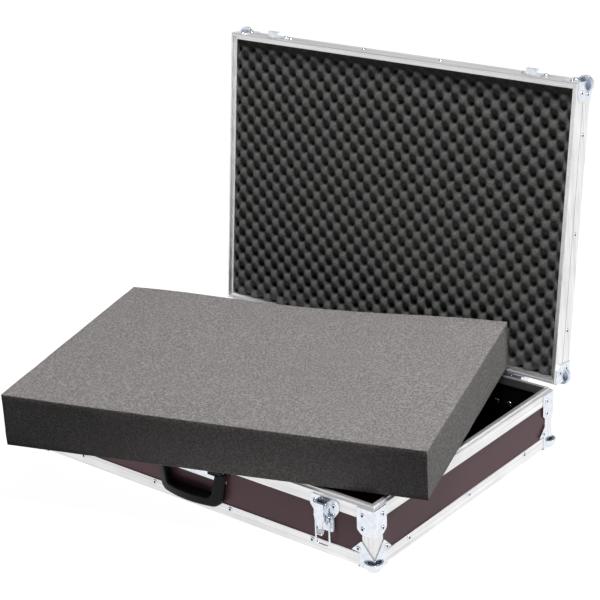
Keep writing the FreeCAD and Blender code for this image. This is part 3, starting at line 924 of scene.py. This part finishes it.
@dataclass
class DrawLatch:
    """Lever with a rolled lip and a round wire bail, on one side of the front."""

    side: Side
    edge: EdgeBreak = PRESSED_EDGE
    trunnion_y: float = -0.2315
    trunnion_z: float = 0.0575
    wire: float = 0.0014
    half_span: float = 0.0113
    length: float = 0.043
    leg_steps: int = 6
    bend: float = 0.005
    bend_steps: int = 8
    eye_line: float = 0.002375
    eye_thick: float = 0.00078
    lip_y: float = -0.2385
    lip_z: float = 0.0338
    lip_half: float = 0.0048
    lip_radius: float = 0.0012
    lip_end_share: float = 0.12
    lip_steps: int = 8
    lip_sides: int = 14

    def build(self, finish: bpy.types.Material) -> None:
        """Makes the lever and the bail.

        Args:
            finish: Zinc material.
        """
        word = self.side.word
        x = CASE.latch_x * self.side.value
        softened(f"latch_lever_{word}", f"lever_{word}", f"lever_{word}", finish, self.edge)
        new_piece(f"lever_lip_{word}", self.lip(x), f"lever_{word}", finish)
        bail = new_piece(f"wire_bail_{word}", self.bail(x), f"bail_{word}", finish)
        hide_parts(f"latch_bail_{word}")

    def lip(self, x: float) -> bpy.types.Mesh:
        """Rolled lip under the lever's tip, thinner towards its ends.

        Args:
            x: Middle of the latch.

        Returns:
            The mesh.
        """
        path, radii = [], []
        for k in range(-self.lip_steps, self.lip_steps + 1):
            share = k / self.lip_steps
            path.append((x + self.lip_half * math.sin(share * math.pi / 2), self.lip_y, self.lip_z))
            radii.append(self.lip_radius * max(self.lip_end_share, 1.0 - abs(share) ** 5) ** 0.5)
        return mesh_from(*tube(np.array(path), radii, self.lip_sides))

    def bail(self, x: float) -> bpy.types.Mesh:
        """Wire loop with two eyes, hanging from the trunnion.

        Args:
            x: Middle of the latch.

        Returns:
            The mesh.
        """
        y, top = self.trunnion_y, self.trunnion_z - self.eye_line
        bend_top = self.trunnion_z - self.length + self.bend
        half = [(-self.half_span, top + (bend_top - top) * k / self.leg_steps) for k in range(self.leg_steps)]
        for k in range(self.bend_steps + 1):
            turn = math.pi / 2 * k / self.bend_steps
            half.append((self.bend - self.half_span - self.bend * math.cos(turn),
                         bend_top - self.bend * math.sin(turn)))
        path = [(x + out, y, z) for out, z in half] + [(x - out, y, z) for out, z in reversed(half)]
        wire = tube(np.array(path), [self.wire] * len(path))
        eyes = [ring(np.array((x + sign * self.half_span, y, self.trunnion_z)), self.eye_line, self.eye_thick,
                     self.wire) for sign in (-1, 1)]
        return mesh_from(*pooled([wire] + eyes))


@dataclass
class CarryHandle:
    """Black grip and its two brackets."""

    grip_edge: EdgeBreak = EdgeBreak(0.0011, least_angle=24.0, steps=4, sharp_angle=60.0)
    bracket_edge: EdgeBreak = EdgeBreak(0.0006, least_angle=24.0, steps=4, sharp_angle=60.0)
    finish: MouldedPlastic = MouldedPlastic()

    def build(self) -> None:
        """Replaces the grip and the brackets by softened copies."""
        material = self.finish.make()
        for node, body, edge in (("handle_grip", "handle", self.grip_edge),
                                 ("handle_brackets", "base", self.bracket_edge)):
            softened(node, f"moulded_{node}", body, material, edge)


@dataclass
class Rivets:
    """Blind rivets: where they sit on the tray and the lid, and the head that is set on each place."""

    head_radius: float = 0.0040
    head_height: float = 0.0013
    head_rim_shares: tuple[Span, ...] = ((0.97, -0.1), (1.0, 0.12), (0.92, 0.5), (0.76, 0.85))
    head_bore_shares: tuple[Span, ...] = ((1.25, 1.0), (1.0, 0.85), (0.96, 0.1))
    core_radius: float = 0.0019
    core_level: float = 0.0004
    core_shares: tuple[Span, ...] = ((0.95, 0.5), (0.95, 1.0), (0.5, 1.3), (0.15, 1.5))
    sides: int = 16
    crease_angle: float = 50.0
    seed: int = 7
    rail_x: tuple[float, ...] = (-0.2165, -0.0715, 0.0715, 0.2165)
    rail_y: tuple[float, ...] = (-0.147, 0.0, 0.147)
    rail_rise: float = 0.012
    lid_rise: float = 0.026
    plate: float = 0.0012
    latch_sheet: float = 0.0015
    latch_step: float = 0.016
    latch_drop: float = 0.014
    hinge_sheet: float = 0.002
    hinge_step: float = 0.011
    hinge_drop: float = 0.040
    lid_step: float = 0.014
    wall: float = 0.008
    brace_in: float = 0.0175
    brace_drops: tuple[float, ...] = (0.013, 0.033)
    ball_in: float = 0.0255
    ball_rise: float = 0.0258
    lid_corner: tuple[Span, ...] = ((0.015, 0.0125), (0.019, 0.0295))

    def all_round(self, x_spots: tuple[float, ...], y_spots: tuple[float, ...], z: float,
                  proud: float) -> list[Spot]:
        """Places on the four outer faces at one height.

        Args:
            x_spots: Places along the front and the rear.
            y_spots: Places along the two ends.
            z: Height.
            proud: How far the seat stands out from the face.

        Returns:
            Place and outward direction of each.
        """
        found = []
        end, front = CASE.half_length + proud, CASE.half_depth + proud
        for sign in (-1, 1):
            found += [(Vector((x, sign * front, z)), Vector((0, sign, 0))) for x in x_spots]
            found += [(Vector((sign * end, y, z)), Vector((sign, 0, 0))) for y in y_spots]
        return found

    def corners(self, inset: float, z: float) -> list[Spot]:
        """Places on both faces of the four corners.

        Args:
            inset: Distance from the corner.
            z: Height.

        Returns:
            Place and outward direction of each.
        """
        x, y = CASE.half_length - inset, CASE.half_depth - inset
        return self.all_round((-x, x), (-y, y), z, self.plate)

    def on_latch(self, x: float, z: float) -> Spot:
        """Place on the outer face of a latch plate or a keeper."""
        return Vector((x, -CASE.half_depth - self.latch_sheet, z)), Vector((0, -1, 0))

    def on_hinge(self, x: float, z: float) -> Spot:
        """Place on the outer face of a hinge leaf."""
        return Vector((x, CASE.half_depth + self.hinge_sheet, z)), Vector((0, 1, 0))

    def in_tray(self, x: float, z: float) -> Spot:
        """Place on the inner face of the tray's rear wall."""
        return Vector((x, CASE.half_depth - self.wall, z)), Vector((0, -1, 0))

    def tray(self) -> list[Spot]:
        """Places on the tray.

        Returns:
            Place and outward direction of each.
        """
        spots = self.all_round(self.rail_x, self.rail_y, self.rail_rise, 0.0)
        for drop in self.brace_drops:
            spots += self.corners(self.brace_in, CASE.rim - drop)
        spots += self.corners(self.ball_in, CASE.bottom + self.ball_rise)
        for side in Side:
            for step in (-self.latch_step, self.latch_step):
                spots.append(self.on_latch(side.value * CASE.latch_x + step, CASE.rim - self.latch_drop))
            for step in (-self.hinge_step, self.hinge_step):
                x, z = side.value * CASE.hinge_x + step, CASE.rim - self.hinge_drop
                spots += [self.on_hinge(x, z), self.in_tray(x, z)]
        return spots

    def lid(self) -> list[Spot]:
        """Places on the closed lid.

        Returns:
            Place and outward direction of each.
        """
        z = CASE.lid_rim + self.lid_rise
        spots = self.all_round(self.rail_x, self.rail_y, z, 0.0)
        for inset, rise in self.lid_corner:
            spots += self.corners(inset, CASE.lid_rim + rise)
        for side in Side:
            for step in (-self.lid_step, self.lid_step):
                spots.append(self.on_latch(side.value * CASE.latch_x + step, z))
                spots.append(self.on_hinge(side.value * CASE.hinge_x + step, z))
        return spots

    def head(self) -> bpy.types.Object:
        """Head of one rivet, its seat at the origin and its dome along +Z.

        Returns:
            The object that is set on each place.
        """
        profile = [(a * self.head_radius, b * self.head_height) for a, b in self.head_rim_shares]
        profile += [(a * self.core_radius, b * self.head_height) for a, b in self.head_bore_shares]
        return self.turned("rivet_head", profile)

    def core(self) -> bpy.types.Object:
        """Broken end of the mandrel, sunk in the head's bore.

        Returns:
            The object that is set on each place.
        """
        profile = [(a * self.core_radius, b * self.core_level) for a, b in self.core_shares]
        return self.turned("rivet_core", profile)

    def turned(self, name: str, profile: list[Span]) -> bpy.types.Object:
        """Object turned from a profile about Z.

        Args:
            name: Name of the object.
            profile: Radius and height of each ring.

        Returns:
            The object.
        """
        turns = [2 * math.pi * k / self.sides for k in range(self.sides)]
        verts = [(r * math.cos(turn), r * math.sin(turn), z) for r, z in profile for turn in turns]
        faces = belts(len(profile), self.sides) + ends(len(profile), self.sides)
        return bpy.data.objects.new(name, mesh_from(np.array(verts), faces))

    def tree(self, part: bpy.types.Object, finish: bpy.types.Material) -> NodeTree:
        """Nodes that set a rivet part on each point, along the point's aim and turned by chance.

        Args:
            part: Object to set.
            finish: Its material.

        Returns:
            The tree.
        """
        nodes = NodeTree(f"{part.name}_rows")
        shape = nodes.input("Part", "NodeSocketObject", part)
        size = nodes.input("Size", "NodeSocketFloat", 1.0)
        seed = nodes.input("Seed", "NodeSocketInt", self.seed)
        material = nodes.input("Finish", "NodeSocketMaterial", finish)
        points = nodes.add("GeometryNodeMeshToPoints", {"Mesh": nodes.given.outputs["Geometry"]})
        aim = nodes.add("GeometryNodeInputNamedAttribute", {"Name": "aim"}, data_type="FLOAT_VECTOR")
        turn = nodes.add("FunctionNodeAlignRotationToVector", {"Vector": aim.outputs["Attribute"]}, axis="Z")
        chance = nodes.add("FunctionNodeRandomValue", {"Seed": seed, RANDOM_MOST: 2 * math.pi},
                           data_type="FLOAT")
        spin = nodes.add("FunctionNodeAxisAngleToRotation", {"Angle": chance.outputs[RANDOM_RESULT]})
        both = nodes.add("FunctionNodeRotateRotation", {0: turn.outputs[0], 1: spin.outputs[0]},
                         rotation_space="LOCAL")
        info = nodes.add("GeometryNodeObjectInfo", {"Object": shape})
        heads = nodes.add("GeometryNodeInstanceOnPoints",
                          {"Points": points.outputs["Points"], "Instance": info.outputs["Geometry"],
                           "Rotation": both.outputs[0], "Scale": size})
        nodes.finish(heads.outputs["Instances"], material)
        return nodes

    def build(self, finish: bpy.types.Material) -> None:
        """Makes the heads and the cores, each as one mesh for the tray and one for the lid.

        Args:
            finish: Zinc material.
        """
        places = (("tray", "base", self.tray(), Matrix.Identity(4)),
                  ("lid", "lid", self.lid(), CASE.opened()))
        # The cores get near-black steel: painted shade of the rivets' hollow bores
        for part, slot, dressing in ((self.head(), "zinc_steel", finish),
                                     (self.core(), "steel_pin", PaintedShadeSteel().make())):
            tree = self.tree(part, dressing)
            for place, body, spots, turn in places:
                seed = bpy.data.meshes.new("rivet_places")
                seed.from_pydata([turn @ spot for spot, aim in spots], [], [])
                aims = seed.attributes.new("aim", "FLOAT_VECTOR", "POINT")
                aims.data.foreach_set("vector", [c for spot, aim in spots for c in turn.to_3x3() @ aim])
                mesh = tree.mesh(seed)
                crease(mesh, self.crease_angle)
                new_piece(f"{place}_{part.name}s", mesh, body, dressing)
            bpy.data.objects.remove(part)


@dataclass
class CrateLining:
    """Egg-crate foam in the lid: a wave in two directions whose peaks and pits alternate."""

    length: float = 0.620
    depth: float = 0.430
    columns: int = 44
    rows: int = 29
    steps: int = 6
    back: float = 0.1208
    peak: float = 0.0930
    relief: float = 0.0165
    fullness: float = 0.30
    uneven: float = 0.0012
    uneven_scale: float = 14.0
    seed: float = 3.0
    crease_angle: float = 60.0
    finish: OpenCellFoam = OpenCellFoam()

    def tree(self, finish: bpy.types.Material) -> NodeTree:
        """Nodes that make the waved face and the skirt down to the lid board.

        Args:
            finish: Foam material.

        Returns:
            The tree.
        """
        nodes = NodeTree("egg_crate")
        given = {name: nodes.input(name, "NodeSocketFloat", float(value)) for name, value in (
            ("Length", self.length), ("Depth", self.depth), ("Columns", self.columns), ("Rows", self.rows),
            ("Steps", self.steps), ("Back", self.back), ("Peak", self.peak), ("Relief", self.relief),
            ("Fullness", self.fullness), ("Unevenness", self.uneven), ("Seed", self.seed))}
        material = nodes.input("Finish", "NodeSocketMaterial", finish)
        grid = nodes.add("GeometryNodeMeshGrid", {
            "Size X": given["Length"], "Size Y": given["Depth"],
            "Vertices X": nodes.sums("MULTIPLY_ADD", given["Columns"], given["Steps"], 1.0),
            "Vertices Y": nodes.sums("MULTIPLY_ADD", given["Rows"], given["Steps"], 1.0)})
        where = nodes.add("GeometryNodeInputPosition").outputs[0]
        chance = nodes.add("ShaderNodeTexNoise", {"Vector": where, "W": given["Seed"], "Detail": 2.0,
                                                  "Scale": self.uneven_scale}, noise_dimensions="4D")
        split = nodes.add("ShaderNodeSeparateXYZ", {0: where})
        waves = []
        for axis, size, count in (("X", "Length", "Columns"), ("Y", "Depth", "Rows")):
            share = nodes.sums("ADD", nodes.sums("DIVIDE", split.outputs[axis], given[size]), 0.5)
            turn = nodes.sums("MULTIPLY", nodes.sums("MULTIPLY", share, given[count]), math.pi)
            waves.append(nodes.sums("COSINE", turn))
        wave = nodes.sums("MULTIPLY_ADD", nodes.sums("MULTIPLY", *waves), 0.5, 0.5)
        full = nodes.sums("POWER", nodes.sums("MAXIMUM", wave, 0.0), given["Fullness"])
        drop = nodes.sums("MULTIPLY", nodes.sums("SUBTRACT", 1.0, full), given["Relief"])
        level = nodes.sums("ADD", nodes.sums("ADD", given["Peak"], drop),
                           nodes.sums("MULTIPLY", chance.outputs["Fac"], given["Unevenness"]))
        face = nodes.add("ShaderNodeCombineXYZ", {0: split.outputs["X"], 1: split.outputs["Y"], 2: level})
        waved = nodes.add("GeometryNodeSetPosition", {"Geometry": grid.outputs["Mesh"],
                                                      "Position": face.outputs[0]})
        sides = nodes.add("GeometryNodeInputMeshEdgeNeighbors").outputs[0]
        outer = nodes.add("FunctionNodeCompare", dict(zip(COMPARE_COUNTS, (sides, 1))), data_type="INT",
                          operation="EQUAL")
        skirt = nodes.add("GeometryNodeExtrudeMesh", {
            "Mesh": waved.outputs["Geometry"], "Selection": outer.outputs[0], "Offset Scale": 0.0},
            mode="EDGES")
        edge = nodes.add("ShaderNodeCombineXYZ", {0: split.outputs["X"], 1: split.outputs["Y"],
                                                  2: given["Back"]})
        whole = nodes.add("GeometryNodeSetPosition", {"Geometry": skirt.outputs["Mesh"],
                                                      "Selection": skirt.outputs["Top"],
                                                      "Position": edge.outputs[0]})
        nodes.finish(whole.outputs["Geometry"], material)
        return nodes

    def build(self) -> None:
        """Makes the lining, closes its back and turns it to the open lid."""
        finish = self.finish.make()
        mesh = self.tree(finish).mesh(bpy.data.meshes.new("lining_seed"))
        work = bmesh.new()
        work.from_mesh(mesh)
        bmesh.ops.holes_fill(work, edges=[e for e in work.edges if e.is_boundary], sides=0)
        bmesh.ops.recalc_face_normals(work, faces=work.faces)
        work.transform(CASE.opened())
        work.to_mesh(mesh)
        work.free()
        crease(mesh, self.crease_angle)
        piece = new_piece("crate_lining", mesh, "lid", finish)
        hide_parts("lid_foam")


@dataclass
class FoamInsert:
    """Cut foam block that lies skew across the rim: crisp edges, uneven faces, a sag over the open tray."""

    length: float = 0.620
    depth: float = 0.430
    thick: float = 0.0724
    seat: Triple = (0.01074, -0.068208, 0.096263)
    yaw: float = 18.12
    roll: float = -0.655
    tilt: float = 0.88
    edge_round: float = 0.0011
    cell: float = 0.006
    wave: float = 0.00025
    slow_wave: float = 22.0
    quick_wave: float = 75.0
    sag: float = 0.0075
    sag_span_share: float = 0.88
    sag_start_share: float = 0.25
    lift: float = 0.007
    crease_angle: float = 60.0
    finish: OpenCellFoam = OpenCellFoam("insert_foam", pore=(0.090, 0.084, 0.082), wall=(0.300, 0.280, 0.274),
                                        pore_scale=310.0)

    def lines(self, half: float) -> list[float]:
        """Grid lines along one side, close together at the rounded ends.

        Args:
            half: Half of the side.

        Returns:
            Places from end to end.
        """
        inner = half - self.edge_round
        count = max(2, round(2 * inner / self.cell))
        middle = [-inner + 2 * inner * k / count for k in range(count + 1)]
        outer = [half - self.edge_round / 2, half]
        return [-line for line in reversed(outer)] + middle + outer

    def shaped(self, point: Vector, half: Vector) -> Vector:
        """Rounds the block's edges and sinks its faces by a slow wave.

        Args:
            point: Point on the sharp block.
            half: Half of each side.

        Returns:
            The moved point.
        """
        r = self.edge_round
        inner = Vector([max(r - h, min(h - r, c)) for c, h in zip(point, half)])
        out = point - inner
        if out.length > WELD_DISTANCE:
            point = inner + out.normalized() * r
        soft = 0.5 + 0.5 * noise.noise(point * self.slow_wave) + 0.25 * noise.noise(point * self.quick_wave)
        return point * (1.0 - self.wave * max(0.0, soft) / half.z / 2)

    def settled(self, point: Vector, half: Vector) -> Vector:
        """Lets the rear side hang between its ends on the rim, and lifts the top at the front left.

        Args:
            point: Point on the shaped block.
            half: Half of each side.

        Returns:
            The moved point.
        """
        right, back, top = (c / h for c, h in zip(point, half))
        free = max(0.0, 1.0 - (right / self.sag_span_share) ** 2)
        behind = max(0.0, (1.0 + back) / 2 - self.sag_start_share) / (1.0 - self.sag_start_share)
        drop = self.sag * free ** 2 * behind ** 2
        rise = self.lift * ((1.0 - right) / 2) ** 2 * (1.0 - back) / 2 * (1.0 + top) / 2
        return point + Vector((0.0, 0.0, rise - drop))

    def build(self) -> None:
        """Makes the block and lays it in place."""
        half = Vector((self.length / 2, self.depth / 2, self.thick / 2))
        work = bmesh.new()
        known: dict[Triple, bmesh.types.BMVert] = {}
        grids = [self.lines(h) for h in half]

        def vert(point: Triple) -> bmesh.types.BMVert:
            """The vertex at a grid point, made once."""
            key = tuple(round(c, 7) for c in point)
            if key not in known:
                known[key] = work.verts.new(self.settled(self.shaped(Vector(point), half), half))
            return known[key]

        for axis, sign in product(range(3), (-1, 1)):
            first, second = (grids[i] for i in range(3) if i != axis)
            for (a0, a1), (b0, b1) in product(pairwise(first), pairwise(second)):
                loop = []
                for place in ([a0, b0], [a1, b0], [a1, b1], [a0, b1]):
                    place.insert(axis, sign * half[axis])
                    loop.append(vert(tuple(place)))
                work.faces.new(loop)
        bmesh.ops.recalc_face_normals(work, faces=work.faces)
        turn = Matrix.Identity(4)
        for degrees, axis in ((self.yaw, "Z"), (self.roll, "Y"), (self.tilt, "X")):
            turn = turn @ Matrix.Rotation(math.radians(degrees), 4, axis)
        work.transform(Matrix.Translation(self.seat) @ turn @ Matrix.Translation((0.0, 0.0, half.z)))
        mesh = bpy.data.meshes.new("insert")
        work.to_mesh(mesh)
        work.free()
        crease(mesh, self.crease_angle)
        piece = new_piece("cut_foam_insert", mesh, "insert", self.finish.make())
        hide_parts("foam_insert")


@dataclass(frozen=True)
class SoftLight:
    """A rectangular area light: where it stands, its two sides and its power."""

    name: str
    place: Triple
    sides: Span
    watts: float

    def shine(self, aim: Triple) -> bpy.types.Object:
        """Adds the light, facing a place.

        Args:
            aim: Place that it faces.

        Returns:
            The light.
        """
        light = bpy.data.lights.new(self.name, "AREA")
        light.shape = "RECTANGLE"
        light.size, light.size_y = self.sides
        light.energy = self.watts
        lamp = bpy.data.objects.new(self.name, light)
        lamp.location = self.place
        lamp.rotation_euler = (Vector(aim) - Vector(self.place)).to_track_quat("-Z", "Y").to_euler()
        bpy.context.scene.collection.objects.link(lamp)
        return lamp


@dataclass
class Studio:
    """White floor, a soft light overhead, a weaker one from the right and the photograph's camera."""

    floor_level: float = -0.0065
    floor_half: float = 9.0
    floor_tone: float = 0.10
    floor_patch: float = 0.01
    floor_glow: float = 0.98
    sky_height: Span = (0.0, 0.9)
    sky_strength: Span = (0.85, 0.15)
    aim: Triple = (0.0, 0.0, 0.15)
    main: SoftLight = SoftLight("main", (0.74, -0.25, 3.30), (0.80, 0.80), 104.0)
    right: SoftLight = SoftLight("right", (3.00, 0.95, 1.90), (0.90, 0.90), 40.0)
    bounce: SoftLight = SoftLight("bounce", (-0.02, -0.300, -0.004), (0.70, 0.12), 0.25)
    camera_place: Triple = (1.45685, -1.75267, 1.14183)
    azimuth: float = 39.2042
    elevation: float = 21.7166
    roll: float = -2.154
    lens: float = 100.415
    sensor: float = 36.0
    far: float = 100.0

    def build(self) -> None:
        """Makes the floor, the lights and the camera."""
        self.floor()
        self.sky()
        self.lights()
        self.camera()

    def floor(self) -> None:
        """Lays a white floor under the ball corners, whose light doesn't reach matt surfaces."""
        nodes = NodeBoard("studio_floor")
        tone = nodes.cloud(nodes.place(), 3.0, detail=2.0)
        low, high = self.floor_tone - self.floor_patch, self.floor_tone + self.floor_patch
        nodes.colour(nodes.blend(tone, (low, low, low), (high, high, high)))
        nodes.shader.inputs["Emission Color"].default_value = (1.0, 1.0, 1.0, 1.0)
        material = nodes.settle(Roughness=0.9, Specular_IOR_Level=0.1, Emission_Strength=self.floor_glow)
        s, z = self.floor_half, self.floor_level
        mesh = bpy.data.meshes.new("floor")
        mesh.from_pydata([(-s, -s, z), (s, -s, z), (s, s, z), (-s, s, z)], [], [(0, 1, 2, 3)])
        mesh.materials.append(material)
        floor = bpy.data.objects.new("floor", mesh)
        floor.visible_diffuse = False
        bpy.context.scene.collection.objects.link(floor)

    def sky(self) -> None:
        """Sets the surroundings that metal reflects, bright near the ground and darker overhead."""
        world = bpy.data.worlds.new("studio")
        world.use_nodes = True
        tree = world.node_tree
        background = tree.nodes["Background"]
        ray = tree.nodes.new("ShaderNodeTexCoord")
        split = tree.nodes.new("ShaderNodeSeparateXYZ")
        fade = tree.nodes.new("ShaderNodeMapRange")
        for key, number in zip(MAP_ENDS, self.sky_height + self.sky_strength):
            fade.inputs[key].default_value = number
        tree.links.new(ray.outputs["Generated"], split.inputs["Vector"])
        tree.links.new(split.outputs["Z"], fade.inputs["Value"])
        tree.links.new(fade.outputs["Result"], background.inputs["Strength"])
        background.inputs["Color"].default_value = (1.0, 1.0, 1.0, 1.0)
        world.cycles_visibility.diffuse = False
        bpy.context.scene.world = world

    def lights(self) -> None:
        """Adds the two lights, and the floor's return on the front as a strip that faces up."""
        for light in (self.main, self.right):
            light.shine(self.aim)
        bounce = self.bounce.shine(self.aim)
        bounce.rotation_euler = (math.pi, 0.0, 0.0)
        bounce.visible_camera = bounce.visible_glossy = False

    def camera(self) -> None:
        """Stands the camera at the photograph's angle."""
        az, el, roll = (math.radians(a) for a in (self.azimuth, self.elevation, self.roll))
        back = Vector((math.sin(az) * math.cos(el), -math.cos(az) * math.cos(el), math.sin(el)))
        right = Vector((math.cos(az), math.sin(az), 0.0))
        up = back.cross(right)
        across = right * math.cos(roll) + up * math.sin(roll)
        upright = up * math.cos(roll) - right * math.sin(roll)
        data = bpy.data.cameras.new("photo_angle")
        data.lens = self.lens
        data.sensor_width = self.sensor
        data.clip_end = self.far
        camera = bpy.data.objects.new("photo_angle", data)
        turn = Matrix((across, upright, back)).transposed().to_4x4()
        camera.matrix_world = Matrix.Translation(self.camera_place) @ turn
        bpy.context.scene.collection.objects.link(camera)
        bpy.context.scene.camera = camera
        bpy.context.scene.view_settings.view_transform = "Standard"


def main() -> None:
    """Builds every sub-assembly in order."""
    logging.basicConfig(level=logging.INFO, format="%(name)s %(message)s")
    Studio().build()
    zinc = ZincPlate().make()
    Boards().build()
    MetalEdges().build()
    PressedHardware().build(zinc)
    for side in Side:
        DrawLatch(side).build(zinc)
    CarryHandle().build()
    Rivets().build(zinc)
    CrateLining().build()
    FoamInsert().build()
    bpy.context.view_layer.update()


if __name__ == "__main__":
    main()
